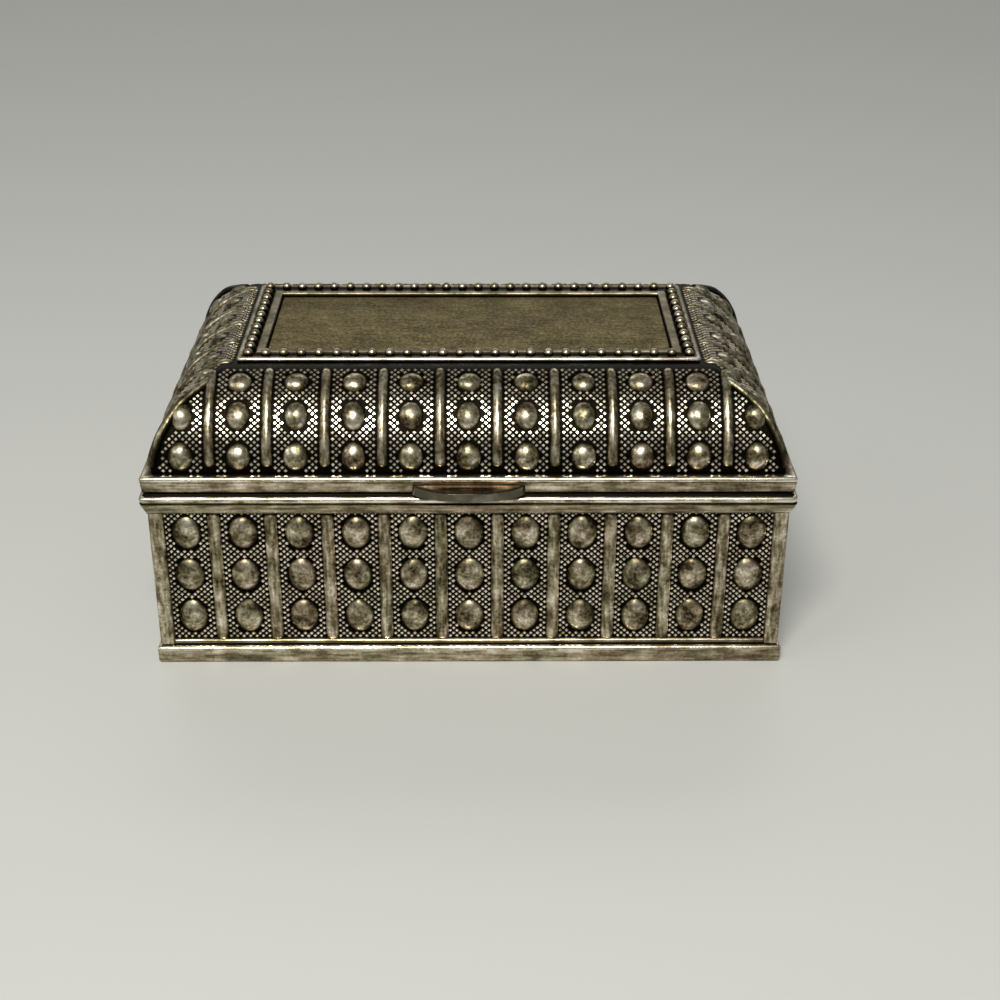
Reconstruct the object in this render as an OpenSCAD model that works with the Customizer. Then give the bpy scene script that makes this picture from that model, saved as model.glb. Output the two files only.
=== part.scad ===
// Keepsake casket: a cast box and a domed, hinged lid, covered with ribs and oval bosses
// and lined with velvet. All sizes are in millimetres.
// The origin is the centre of the plinth's underside, +Z is up, and the front faces -Y.

/* [Overall size] */
// Width of the lid rim, left to right
rim_w = 102; // [84:0.5:124]
// Depth of the lid rim, front to back
rim_d = 62.8; // [52:0.1:76]
// Height of the box casting, from the plinth's underside to the parting line
box_h = 30.6; // [25:0.1:37]
// Radius of the lid's rounded slopes, which sets the lid's height
slope_r = 16.32; // [13.6:0.02:19.6]
// Radius of the vertical corners in plan
corner_r = 0.8; // [0.4:0.1:1.5]

/* [Casting walls] */
// Thickness of the box wall behind the ornament
wall_t = 1.75; // [1.4:0.05:2.2]
// Thickness of the lid's curved shell
lid_wall_t = 1.6; // [1.3:0.05:2]
// Thickness of the lid's flat top under the plaque
lid_top_t = 1.45; // [1.2:0.05:2]
// Air line between the box rim and the lid rim
parting_gap = 0.15; // [0.1:0.01:0.3]

/* [Plinth and rims] */
// How far the plinth's face stands back from the lid rim
plinth_inset = 0.2; // [0:0.05:0.5]
// Height of the plinth's upright face
plinth_face_h = 2.4; // [1.9:0.1:3]
// Height at which the plinth's sloping top meets the wall
plinth_h = 4.0; // [3.2:0.1:4.8]
// Height of the box rim moulding
box_rim_h = 3.6; // [3.2:0.1:4.4]
// Radius of the bead along the box rim
rim_bead_r = 0.42; // [0.35:0.01:0.5]
// Height of the lid rim's upright face
lid_rim_h = 2.85; // [2.6:0.05:3.4]
// Width of the flat ledge between the lid rim and the slope
ledge_w = 1.63; // [1.3:0.01:2]

/* [Ornament] */
// Bays across the front and the back
front_bays = 11; // [7:1:13]
// Bays across each side of the box
side_bays = 6; // [4:1:7]
// Pitch of the ribs on the lid's two end slopes
end_rib_pitch = 8.4; // [7:0.1:9.5]
// Ribs on each of the lid's end slopes
end_ribs = 5; // [3:2:5]
// Width of a rib
rib_w = 1.53; // [1.3:0.01:1.8]
// Height of a rib above the ground
rib_h = 0.85; // [0.7:0.01:1]
// Width of a hip rib
hip_rib_w = 1.9; // [1.5:0.05:2.3]
// Height of a hip rib above the meeting line of two slopes
hip_rib_h = 0.45; // [0.3:0.05:0.6]
// Width of the corner pilasters
pilaster_w = 2.37; // [2:0.01:2.8]
// How far the pilasters' faces stand back from the lid rim
pilaster_inset = 0.73; // [0.6:0.01:0.9]
// How far the ground of the walls stands back from the lid rim
ground_inset = 1.75; // [1.6:0.01:2]
// Rows of bosses on the box walls
boss_rows = 3; // [2:1:3]
// Width of a boss on the ground
boss_w = 4.37; // [3.8:0.01:4.8]
// Length of a boss on the ground
boss_l = 5.56; // [5:0.01:6]
// Height of a boss above the ground
boss_h = 1.05; // [0.8:0.01:1.2]

/* [Plaque] */
// How far the frame's outer edge stands inside the slope's crown line
frame_overlap = 3.75; // [3:0.05:4.5]
// Width of the frame's moulding
frame_w = 4.15; // [3.8:0.05:4.6]
// Thickness of the frame's bed, which the beads stand on
frame_bed_t = 0.5; // [0.4:0.05:0.6]
// Pitch of the beads
bead_pitch = 2.8; // [2.4:0.05:3.2]
// Radius of a bead
bead_r = 0.85; // [0.7:0.01:0.95]
// How far the middle of a bead stands above the bed
bead_lift = 0.4; // [0.2:0.05:0.5]
// Thickness of the plaque plate
plate_t = 0.6; // [0.4:0.05:0.8]
// Gap all round the plaque plate
plate_gap = 0.2; // [0.1:0.05:0.3]

/* [Thumb tab] */
// Width of the thumb tab
tab_w = 16.8; // [14:0.1:20]
// How far the tab stands out from the lid rim
tab_out = 3.2; // [2.6:0.1:3.9]
// Thickness of the tab
tab_t = 1.6; // [1.3:0.1:1.9]
// Depth of the dish in the top of the tab
tab_dish = 0.4; // [0.2:0.05:0.6]

/* [Hinge] */
// Length of one knuckle
knuckle_l = 6; // [5:0.1:7.2]
// Knuckles on the pin, odd so that the box has one more than the lid
knuckles = 5; // [3:2:5]
// Gap between two knuckles
knuckle_gap = 0.2; // [0.1:0.05:0.3]
// Outer radius of the barrel
barrel_r = 1.45; // [1.35:0.05:1.6]
// Radius of the hinge pin
pin_r = 0.7; // [0.6:0.01:0.8]
// Running clearance between the pin and its knuckles
pin_clearance = 0.05; // [0.03:0.01:0.08]
// Thickness of the hinge's sheet metal
leaf_t = 0.5; // [0.4:0.05:0.6]
// Height of the leaf inside the box
box_leaf_h = 7; // [6:0.1:9]
// Angle at which the heel of the hinge stops the lid
stop_angle = 100; // [95:1:105]

/* [Lining and base] */
// Thickness of a velvet-covered lining panel
lining_t = 1.1; // [0.9:0.05:1.4]
// Gap between a lining panel and the metal behind it
lining_gap = 0.2; // [0.1:0.05:0.3]
// How far the lining stops below the box rim
lining_drop = 1.2; // [0.8:0.1:2]
// Height of the floor pad at its edge
pad_edge_h = 3.2; // [2.6:0.1:4]
// Extra height of the floor pad at its crown
pad_crown = 1.3; // [0.8:0.1:1.8]
// Thickness of the base plate
base_plate_t = 1; // [0.8:0.05:1.2]
// Thickness of the felt under the base plate
base_felt_t = 0.8; // [0.6:0.05:1]

/* [Hidden] */

$fn = 64;
far = 300;      // longer than any side, for prisms that cut right across
fit = 0.02;     // clearance of a fixed fit, such as a rivet in its hole

silver = "#8c8878";
dark_silver = "#4c4a42";
brass = "#a08a50";
velvet = "#7a1f2b";
felt = "#2b2b2e";

// Box walls and rim
rim_z = box_h - box_rim_h;
cavity_inset = ground_inset + wall_t;
rebate_w = 0.9;
rebate_inset = cavity_inset - rebate_w;
plate_clearance = 0.05;
felt_inset = 0.6;
floor_z = base_felt_t + base_plate_t;
panel_z = plinth_h + 0.2;
row_pitch = (rim_z - panel_z) / boss_rows;

// Lid: a slope is an arc about a line that lies slope_c inside the rim and at height slope_z
slope_c = ledge_w + slope_r;
lid_z = box_h + parting_gap;
ledge_z = lid_z + lid_rim_h;
slope_centre_drop = 1.96;
crown_cut = 1.01;
slope_z = ledge_z - slope_centre_drop;
lid_top_z = slope_z + slope_r - crown_cut;
lid_inner_r = slope_r - lid_wall_t;
ceiling_z = lid_top_z - plate_t - lid_top_t;
rib_foot_angle = 9.6;
rib_foot_z = slope_z + slope_r * sin(rib_foot_angle);
row_angles = [16.1, 38.7, 58.9];
row_lengths = [4.6, 4.7, 3.6];

// A boss is a capsule sunk into the ground: boss_r is its radius and boss_sink its depth
boss_r = (boss_h * boss_h + boss_w * boss_w / 4) / (2 * boss_h);
boss_sink = boss_r - boss_h;

// Plaque
frame_inset = slope_c - frame_overlap;
frame_out_w = rim_w - 2 * frame_inset;
frame_out_d = rim_d - 2 * frame_inset;
plate_hole_w = frame_out_w - 2 * frame_w;
plate_hole_d = frame_out_d - 2 * frame_w;
bead_inset = 1.79;
frame_lip_w = 0.93;
frame_strip_w = 1.45;
bead_z = lid_top_z + frame_bed_t + bead_lift;

// Bead along the box rim: how far it stands out, and how far its middle lies below the rim's top
rim_bead_out = 0.36;
rim_bead_drop = 0.73;

// Hinge: the pin lies behind the rim, level with the parting line, and its barrel clears the rim's bead
barrel_clearance = 0.29;
axis_out = barrel_r + rim_bead_out + barrel_clearance;
axis_y = rim_d / 2 + axis_out;
axis_z = box_h + parting_gap / 2;
hinge_l = knuckles * knuckle_l + (knuckles - 1) * knuckle_gap;
bore_r = pin_r + pin_clearance;
leaf_sink = 0.05;
box_leaf_z = box_h - leaf_sink - leaf_t;
lid_leaf_z = lid_z + leaf_sink;
box_leaf_y = rim_d / 2 - cavity_inset;
lid_pad_t = 0.67;
lid_pad_inset = slope_c - lid_inner_r + lid_pad_t;
lid_leaf_y = rim_d / 2 - lid_pad_inset;
lid_pad_top_step = 0.8;
lid_pad_z = slope_z + sqrt(pow(lid_inner_r, 2) - pow(slope_c - lid_pad_inset, 2)) - lid_pad_top_step;
lid_leaf_h = lid_pad_z - 0.3 - lid_leaf_z;
leaf_side_gap = 0.1;
leaf_root = 0.2;
pin_head_r = 1.15;
pin_head_h = 0.5;
pin_head_gap = 0.1;
heel_t = 1.1;
heel_out = 0.15;
heel_gap = 0.06;
rivet_r = 0.8;
rivet_head_h = 0.4;
rivet_head_ball_r = 2.1;
rivet_shank = 0.8;
rivet_end = 3.2;
rivet_spread = hinge_l / 2 - rivet_end;
box_rivet_rise = 2.4;
lid_rivet_drop = 1.9;

// Thumb tab: its tang is let into the lid rim
tang_w = 8;
tang_t = 0.9;
tang_depth = 1.3;
tang_rise = 0.6;
tab_root = 0.34;
tab_rise = 0.05;
dish_half_w = 0.42 * tab_w;
dish_set_back = 0.4;

// Outline of a rim or plinth, as [distance inside the rim, height] going up
plinth_outline = [
    [plinth_inset + 0.25, 0], [plinth_inset, 0.3], [plinth_inset, plinth_face_h],
    [plinth_inset + 0.12, plinth_face_h + 0.32], [plinth_inset + 0.4, plinth_face_h + 0.45],
    [ground_inset - 0.3, plinth_h], [ground_inset, plinth_h], [ground_inset, rim_z],
    [0.78, rim_z], [-0.3, rim_z + 2.15], [-0.3, rim_z + 2.35], [0.12, rim_z + 2.42],
    [0.12, box_h - 0.3], [rim_bead_out, box_h]
];
lid_rim_outline = [
    [0.8, lid_z], [0.5, lid_z + 0.08], [0.34, lid_z + 0.3], [0, ledge_z - 0.3],
    [0.06, ledge_z - 0.12], [0.25, ledge_z], [ledge_w + 0.5, ledge_z]
];

// A section across the casket, from an outline of [inset, height] points
module section(width, outline) {
    last = len(outline) - 1;
    polygon(concat(
        [for (p = outline) [width / 2 - p[0], p[1]]],
        [for (i = [last:-1:0]) [outline[i][0] - width / 2, outline[i][1]]]
    ));
}

// The box's section, with the bead along its rim
module box_section(width) {
    section(width, plinth_outline);
    for (side = [-1, 1])
        translate([side * (width / 2 + rim_bead_out - rim_bead_r), box_h - rim_bead_drop]) circle(rim_bead_r);
}

// What two crossing sections have in common: children 0 is the section across X, 1 across Y
module crossing() {
    intersection() {
        rotate([90, 0, 0]) linear_extrude(far, center = true) children(0);
        rotate([90, 0, 90]) linear_extrude(far, center = true) children(1);
    }
}

module rounded_rectangle(width, depth, radius) {
    square([width - 2 * radius, depth], center = true);
    square([width, depth - 2 * radius], center = true);
    for (x = [-1, 1], y = [-1, 1])
        translate([x * (width / 2 - radius), y * (depth / 2 - radius)]) circle(radius);
}

// A square-edged block centred on the Z axis, inset from the rim
module inset_block(inset, z0, z1) {
    translate([0, 0, z0])
        linear_extrude(z1 - z0) square([rim_w - 2 * inset, rim_d - 2 * inset], center = true);
}

// The cross-section of the lid's vault, with straight sides below the arcs
module vault_section(width, radius, z0, z1) {
    reach = width / 2 - slope_c;
    intersection() {
        union() {
            translate([-reach, slope_z - 5]) square([2 * reach, radius + 5]);
            translate([-reach - radius, slope_z - 5]) square([2 * (reach + radius), 5]);
            for (side = [-1, 1]) translate([side * reach, slope_z]) circle(radius);
        }
        translate([-width, z0]) square([2 * width, z1 - z0]);
    }
}

module vault(radius, z0, z1) {
    crossing() {
        vault_section(rim_w, radius, z0, z1);
        vault_section(rim_d, radius, z0, z1);
    }
}

// The part of the plan that belongs to one side, between the two hips
module side_wedge(width, depth, gap = 0) {
    half = width / 2 + 5;
    linear_extrude(far, center = true)
        translate([0, gap])
            polygon([[-half, -depth / 2 - 5], [half, -depth / 2 - 5],
                     [width / 2 - depth / 2, 0], [depth / 2 - width / 2, 0]]);
}

module end_wedge(gap = 0) {
    half = rim_d / 2 + 5;
    linear_extrude(far, center = true)
        translate([0, gap])
            polygon([[-half, -rim_w / 2 - 5], [half, -rim_w / 2 - 5], [0, rim_d / 2 - rim_w / 2]]);
}

// A boss whose long axis is Z, and whose own centre is sunk below the ground
module boss(length) {
    straight = max(0.2, length - boss_w);
    rotate_extrude()
        intersection() {
            union() {
                for (end = [-1, 1]) translate([0, end * straight / 2]) circle(boss_r);
                square([2 * boss_r, straight], center = true);
            }
            translate([0, -far / 2]) square([far, far]);
        }
}

// Ribs and bosses of one box wall that faces -Y
module wall_relief(width, depth, bays) {
    pitch = (width - 2 * pilaster_inset - pilaster_w) / bays;
    ground_y = ground_inset - depth / 2;
    for (i = [1:bays - 1])
        translate([(i - bays / 2) * pitch - rib_w / 2, ground_y - rib_h, plinth_h + 0.3])
            cube([rib_w, rib_h + 0.5, rim_z - plinth_h]);
    for (i = [0:bays - 1], row = [0:boss_rows - 1])
        translate([(i + 0.5 - bays / 2) * pitch, ground_y + boss_sink, panel_z + (row + 0.5) * row_pitch])
            boss(boss_l);
}

module box_casting() {
    color(silver) difference() {
        union() {
            intersection() {
                crossing() {
                    box_section(rim_w);
                    box_section(rim_d);
                }
                linear_extrude(box_h)
                    rounded_rectangle(rim_w + 2 * rim_bead_out, rim_d + 2 * rim_bead_out, corner_r);
            }
            for (turn = [0, 180]) rotate([0, 0, turn]) wall_relief(rim_w, rim_d, front_bays);
            for (turn = [90, 270]) rotate([0, 0, turn]) wall_relief(rim_d, rim_w, side_bays);
            for (x = [-1, 1], y = [-1, 1])
                translate([x * (rim_w / 2 - pilaster_inset - pilaster_w / 2),
                           y * (rim_d / 2 - pilaster_inset - pilaster_w / 2), rim_z / 2 + plinth_h / 2])
                    cube([pilaster_w, pilaster_w, rim_z - plinth_h + 0.4], center = true);
        }
        inset_block(cavity_inset, -1, far);
        inset_block(rebate_inset, -1, floor_z);
        box_leaf_seat();
        box_rivet_places() rivet_hole();
    }
}

// Cut for the box half of the hinge: a notch over the rim and a pocket down the inner wall
module box_leaf_seat() {
    width = hinge_l + 2 * leaf_side_gap;
    translate([-width / 2, box_leaf_y - 1, box_leaf_z - fit]) cube([width, far, far]);
    translate([-width / 2, box_leaf_y - 1, box_h - box_leaf_h - fit])
        cube([width, 1 + leaf_t + fit, far]);
}

module base_plate() {
    color(brass) inset_block(rebate_inset + plate_clearance, floor_z - base_plate_t, floor_z);
}

module base_felt() {
    color(felt) inset_block(rebate_inset + felt_inset, 0, base_felt_t);
}

// The pad is crowned from front to back
module floor_pad() {
    inset = cavity_inset + lining_gap + lining_t + 0.3;
    top = floor_z + pad_edge_h + pad_crown;
    crown_r = (pow(rim_d / 2 - inset, 2) + pow(pad_crown, 2)) / (2 * pad_crown);
    color(velvet) intersection() {
        inset_block(inset, floor_z, top + 1);
        translate([0, 0, top - crown_r]) rotate([0, 90, 0]) cylinder(far, r = crown_r, center = true, $fn = 256);
    }
}

// A lining panel against the inside of the front wall, with a rounded top edge
module lining_panel(width, depth) {
    back = depth / 2 - cavity_inset - lining_gap;
    top = box_h - lining_drop;
    radius = lining_t / 2;
    translate([-width / 2, -back, floor_z]) cube([width, lining_t, top - floor_z - radius]);
    translate([0, radius - back, top - radius]) rotate([0, 90, 0]) cylinder(width, r = radius, center = true);
}

long_lining_w = rim_w - 2 * (cavity_inset + lining_gap);
short_lining_w = rim_d - 2 * (cavity_inset + lining_gap + lining_t + 0.1);

module lining_front() { color(velvet) lining_panel(long_lining_w, rim_d); }

module lining_back() {
    notch_w = hinge_l + 1;
    color(velvet) difference() {
        rotate([0, 0, 180]) lining_panel(long_lining_w, rim_d);
        translate([-notch_w / 2, 0, box_h - box_leaf_h - 0.5]) cube([notch_w, far, far]);
    }
}

module lining_left() { color(velvet) rotate([0, 0, -90]) lining_panel(short_lining_w, rim_w); }

module lining_right() { color(velvet) rotate([0, 0, 90]) lining_panel(short_lining_w, rim_w); }

// Knuckles first, first + 2 and so on, as solid barrels along the pin
module barrels(first, radius) {
    step = knuckle_l + knuckle_gap;
    for (i = [first:2:knuckles - 1])
        translate([-hinge_l / 2 + i * step + knuckle_l / 2, axis_y, axis_z])
            rotate([0, 90, 0]) cylinder(knuckle_l, r = radius, center = true);
}

// Tongues of sheet metal that join the knuckles to their leaf
module tongues(first, z) {
    step = knuckle_l + knuckle_gap;
    root = rim_d / 2 + leaf_root;
    for (i = [first:2:knuckles - 1])
        translate([-hinge_l / 2 + i * step, root - 0.5, z]) cube([knuckle_l, axis_y - root + 0.5, leaf_t]);
}

module pin_bore() {
    translate([0, axis_y, axis_z]) rotate([0, 90, 0]) cylinder(far, r = bore_r, center = true);
}

module hinge_leaf_box() {
    color(brass) difference() {
        union() {
            barrels(0, barrel_r);
            tongues(0, box_leaf_z);
            translate([-hinge_l / 2, box_leaf_y, box_leaf_z])
                cube([hinge_l, rim_d / 2 + leaf_root - box_leaf_y, leaf_t]);
            translate([-hinge_l / 2, box_leaf_y, box_h - box_leaf_h])
                cube([hinge_l, leaf_t, box_leaf_z + leaf_t - box_h + box_leaf_h]);
        }
        pin_bore();
        box_rivet_places() rivet_hole();
    }
}

module hinge_leaf_lid() {
    color(brass) difference() {
        union() {
            barrels(1, barrel_r);
            tongues(1, lid_leaf_z);
            stop_heels();
            translate([-hinge_l / 2, lid_leaf_y - leaf_t, lid_leaf_z])
                cube([hinge_l, rim_d / 2 + leaf_root - lid_leaf_y + leaf_t, leaf_t]);
            translate([-hinge_l / 2, lid_leaf_y - leaf_t, lid_leaf_z]) cube([hinge_l, leaf_t, lid_leaf_h]);
        }
        pin_bore();
        lid_rivet_places() rivet_hole();
    }
}

// Heels on the lid's knuckles. Turned to the stop angle, their faces come to the box rim's bead
module stop_heels() {
    reach = axis_out - rim_bead_out - heel_gap;
    step = knuckle_l + knuckle_gap;
    for (i = [1:2:knuckles - 1])
        translate([-hinge_l / 2 + i * step, axis_y, axis_z]) rotate([stop_angle, 0, 0])
            translate([0, -reach, -barrel_r - heel_out]) cube([knuckle_l, reach - bore_r - 0.2, heel_t]);
}

module hinge_pin() {
    head_place = hinge_l / 2 + pin_head_gap + pin_head_h / 2;
    color(brass) translate([0, axis_y, axis_z]) rotate([0, 90, 0]) {
        cylinder(2 * head_place, r = pin_r, center = true);
        for (end = [-1, 1])
            translate([0, 0, end * head_place]) cylinder(pin_head_h, r = pin_head_r, center = true);
    }
}

// A rivet whose head rests on a leaf at y = 0 and whose shank runs towards +Y
module rivet() {
    rotate([-90, 0, 0]) {
        cylinder(leaf_t + rivet_shank, r = rivet_r);
        intersection() {
            translate([0, 0, rivet_head_ball_r - rivet_head_h]) sphere(rivet_head_ball_r);
            translate([0, 0, -rivet_head_h]) cylinder(rivet_head_h, r = rivet_head_ball_r);
        }
    }
}

module rivet_hole() {
    translate([0, -1, 0]) rotate([-90, 0, 0]) cylinder(1 + leaf_t + rivet_shank + 0.05, r = rivet_r + fit);
}

module box_rivet_places() {
    for (x = [-1, 0, 1])
        translate([x * rivet_spread, box_leaf_y, box_h - box_leaf_h + box_rivet_rise]) children();
}

module lid_rivet_places() {
    for (x = [-1, 0, 1])
        translate([x * rivet_spread, lid_leaf_y - leaf_t, lid_leaf_z + lid_leaf_h - lid_rivet_drop]) children();
}

module hinge_rivets_box() { color(brass) box_rivet_places() rivet(); }

module hinge_rivets_lid() { color(brass) lid_rivet_places() rivet(); }

// Ribs and bosses of one lid slope that faces -Y. xs are the rib places, and each row
// of bosses has its own list of places
module slope_relief(depth, rib_xs, boss_xs) {
    axis = slope_c - depth / 2;
    crest_r = slope_r + rib_h;
    translate([0, axis, slope_z]) {
        intersection() {
            for (x = rib_xs)
                translate([x, 0, 0]) rotate([0, 90, 0]) cylinder(rib_w, r = crest_r, center = true);
            translate([-far / 2, -far, rib_foot_z - slope_z])
                cube([far, far - frame_overlap - 0.05, lid_top_z + frame_bed_t - rib_foot_z]);
        }
        for (row = [0:2], x = boss_xs[row])
            translate([x, 0, 0]) rotate([-row_angles[row], 0, 0])
                translate([0, boss_sink - slope_r, 0]) boss(row_lengths[row]);
    }
}

// Half the span of the plan at a point of the slope, at the angle given
function span_at(width, angle) = width / 2 - slope_c + slope_r * cos(angle);

front_pitch = (rim_w - 2 * pilaster_inset - pilaster_w) / front_bays;
front_rib_xs = [for (i = [1:front_bays - 1]) (i - front_bays / 2) * front_pitch];
front_boss_xs = [for (angle = row_angles) [
    for (i = [0:front_bays - 1])
        let (x = (i + 0.5 - front_bays / 2) * front_pitch)
            if (abs(x) < span_at(rim_w, angle) - 0.1 * boss_w) x
]];
end_rib_xs = [for (i = [0:end_ribs - 1]) (i - (end_ribs - 1) / 2) * end_rib_pitch];
end_boss_xs = [for (angle = row_angles) concat(
    [for (i = [0:end_ribs - 2]) (i + 1 - end_ribs / 2) * end_rib_pitch],
    [for (side = [-1, 1]) side * (span_at(rim_d, angle) + (end_ribs - 1) / 2 * end_rib_pitch) / 2]
)];

// Ribs over the four hips, from the lid rim to the corners of the plaque frame
module hip_ribs() {
    intersection() {
        vault(slope_r + hip_rib_h, rib_foot_z - 0.3, lid_top_z + 0.3);
        union() for (x = [-1, 1], y = [-1, 1])
            translate([x * (rim_w / 2 - slope_c), y * (rim_d / 2 - slope_c), 0])
                rotate([0, 0, atan2(y, x)])
                    translate([frame_overlap * sqrt(2) + 1, -hip_rib_w / 2, 0]) cube([far, hip_rib_w, far]);
    }
}

module lid_casting() {
    pad_w = hinge_l + 2;
    notch_w = hinge_l + 2 * leaf_side_gap;
    color(silver) difference() {
        union() {
            difference() {
                union() {
                    intersection() {
                        crossing() {
                            section(rim_w, lid_rim_outline);
                            section(rim_d, lid_rim_outline);
                        }
                        linear_extrude(far) rounded_rectangle(rim_w, rim_d, corner_r);
                    }
                    vault(slope_r, lid_z + 0.5, lid_top_z);
                    hip_ribs();
                    for (turn = [0, 180]) rotate([0, 0, turn]) intersection() {
                        slope_relief(rim_d, front_rib_xs, front_boss_xs);
                        side_wedge(rim_w, rim_d);
                    }
                    for (turn = [90, 270]) rotate([0, 0, turn]) intersection() {
                        slope_relief(rim_w, end_rib_xs, end_boss_xs);
                        end_wedge();
                    }
                }
                vault(lid_inner_r, lid_z - 1, ceiling_z);
            }
            intersection() {
                translate([-pad_w / 2, lid_leaf_y, lid_z]) cube([pad_w, lid_pad_inset - 1.2, lid_pad_z - lid_z]);
                vault(slope_r - 0.3, lid_z, ceiling_z);
            }
        }
        translate([-notch_w / 2, lid_leaf_y - 1, lid_z - 1]) cube([notch_w, far, 1.05 + leaf_t + fit]);
        lid_rivet_places() rivet_hole();
        translate([-plate_hole_w / 2, -plate_hole_d / 2, lid_top_z - plate_t])
            cube([plate_hole_w, plate_hole_d, far]);
        tab_tang(fit);
    }
}

module frame_ring(inset, width, height, radius) {
    translate([0, 0, lid_top_z]) linear_extrude(height) difference() {
        rounded_rectangle(frame_out_w - 2 * inset, frame_out_d - 2 * inset, radius);
        square([frame_out_w - 2 * (inset + width), frame_out_d - 2 * (inset + width)], center = true);
    }
}

// A bead, round above its middle and straight below it, with its foot sunk into the frame's bed
module bead() {
    foot = bead_lift + frame_bed_t / 2;
    rotate_extrude() {
        intersection() {
            circle(bead_r);
            square(far);
        }
        translate([0, -foot]) square([bead_r, foot + 0.01]);
    }
}

module plaque_frame() {
    half_x = frame_out_w / 2 - bead_inset;
    half_y = frame_out_d / 2 - bead_inset;
    count_x = round(2 * half_x / bead_pitch);
    count_y = round(2 * half_y / bead_pitch);
    color(silver) {
        frame_ring(0, frame_w, frame_bed_t, 0.6);
        frame_ring(0, frame_lip_w, frame_bed_t + 0.2, 0.6);
        frame_ring(frame_w - frame_strip_w, frame_strip_w, frame_bed_t + 0.4, 0.2);
        for (side = [-1, 1]) {
            for (i = [0:count_x]) translate([(2 * i / count_x - 1) * half_x, side * half_y, bead_z]) bead();
            for (i = [1:count_y - 1]) translate([side * half_x, (2 * i / count_y - 1) * half_y, bead_z]) bead();
        }
    }
}

module plaque_plate() {
    color(dark_silver) translate([0, 0, lid_top_z - plate_t])
        linear_extrude(plate_t)
            square([plate_hole_w - 2 * plate_gap, plate_hole_d - 2 * plate_gap], center = true);
}

module tab_tang(clearance) {
    translate([-tang_w / 2 - clearance, -rim_d / 2, lid_z + tang_rise - clearance])
        cube([tang_w + 2 * clearance, tang_depth + clearance, tang_t + 2 * clearance]);
}

module thumb_tab() {
    plan_r = (pow(tab_w / 2, 2) + pow(tab_out, 2)) / (2 * tab_out);
    dish_r = (pow(dish_half_w, 2) + pow(tab_dish, 2)) / (2 * tab_dish);
    tab_z = lid_z + tab_rise;
    color(dark_silver) {
        difference() {
            translate([0, plan_r - rim_d / 2 - tab_out, tab_z]) cylinder(tab_t, r = plan_r, $fn = 128);
            translate([-far / 2, tab_root - rim_d / 2, 0]) cube([far, far, far]);
            crossing() {
                section(rim_w, lid_rim_outline);
                section(rim_d, lid_rim_outline);
            }
            translate([0, dish_set_back - rim_d / 2 - tab_out / 2, tab_z + tab_t - tab_dish + dish_r])
                sphere(dish_r, $fn = 128);
        }
        tab_tang(0);
    }
}

// Curved lining of one slope, between the hips
module slope_lining() {
    outer_r = lid_inner_r - lining_gap;
    top_z = ceiling_z - lining_gap - lining_t - 0.1;
    intersection() {
        difference() {
            vault(outer_r, lid_z + 0.6, top_z);
            vault(outer_r - lining_t, lid_z - 1, far);
        }
        children();
    }
}

module lid_lining_front() { color(velvet) slope_lining() side_wedge(rim_w, rim_d, -0.1); }

module lid_lining_back() {
    notch_w = hinge_l + 3;
    color(velvet) difference() {
        slope_lining() rotate([0, 0, 180]) side_wedge(rim_w, rim_d, -0.1);
        translate([-notch_w / 2, 0, 0]) cube([notch_w, far, lid_pad_z + 0.4]);
    }
}

module lid_lining_left() { color(velvet) slope_lining() rotate([0, 0, -90]) end_wedge(-0.1); }

module lid_lining_right() { color(velvet) slope_lining() rotate([0, 0, 90]) end_wedge(-0.1); }

module lid_lining_top() {
    color(velvet) vault(lid_inner_r - lining_gap, ceiling_z - lining_gap - lining_t, ceiling_z - lining_gap);
}

box_casting();
base_plate();
base_felt();
floor_pad();
lining_front();
lining_back();
lining_left();
lining_right();
hinge_leaf_box();
hinge_rivets_box();
hinge_pin();
lid_casting();
plaque_frame();
plaque_plate();
thumb_tab();
hinge_leaf_lid();
hinge_rivets_lid();
lid_lining_top();
lid_lining_front();
lid_lining_back();
lid_lining_left();
lid_lining_right();
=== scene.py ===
"""The looks of a keepsake casket: aged silver castings covered with ribs, oval bosses and stipple,
a beaded plaque frame and a velvet lining. Sizes are in millimetres until a piece is finished."""

import math
import random

import bmesh
import bpy
from mathutils import Matrix, Vector, noise


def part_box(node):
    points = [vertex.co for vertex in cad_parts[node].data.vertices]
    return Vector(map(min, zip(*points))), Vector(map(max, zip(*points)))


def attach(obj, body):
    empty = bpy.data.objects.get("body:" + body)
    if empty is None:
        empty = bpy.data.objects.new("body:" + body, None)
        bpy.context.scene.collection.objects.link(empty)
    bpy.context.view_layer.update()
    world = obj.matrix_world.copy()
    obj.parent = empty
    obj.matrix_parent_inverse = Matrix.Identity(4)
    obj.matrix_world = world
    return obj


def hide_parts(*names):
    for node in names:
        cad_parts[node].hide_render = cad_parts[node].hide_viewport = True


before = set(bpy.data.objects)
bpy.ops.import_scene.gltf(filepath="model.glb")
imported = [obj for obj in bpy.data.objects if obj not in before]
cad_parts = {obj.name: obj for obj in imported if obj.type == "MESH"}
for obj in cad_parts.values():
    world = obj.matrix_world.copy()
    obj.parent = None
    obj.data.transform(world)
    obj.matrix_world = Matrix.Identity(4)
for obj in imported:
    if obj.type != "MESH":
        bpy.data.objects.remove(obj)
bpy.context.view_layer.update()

MM = 0.001


def corners(node):
    """Lowest and highest corner of a node of the frame, in millimetres."""
    low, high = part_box(node)
    return low / MM, high / MM


# Sizes that the frame gives
box_high = corners("box_casting")[1]
lid_low, lid_high = corners("lid_casting")
plate_low, plate_high = corners("plaque_plate")
frame_high = corners("plaque_frame")[1]
tab_low, tab_high = corners("thumb_tab")
rim_w = 2 * lid_high.x
rim_d = 2 * lid_high.y
box_h = box_high.z
lid_z = lid_low.z
lid_top_z = plate_high.z

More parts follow.
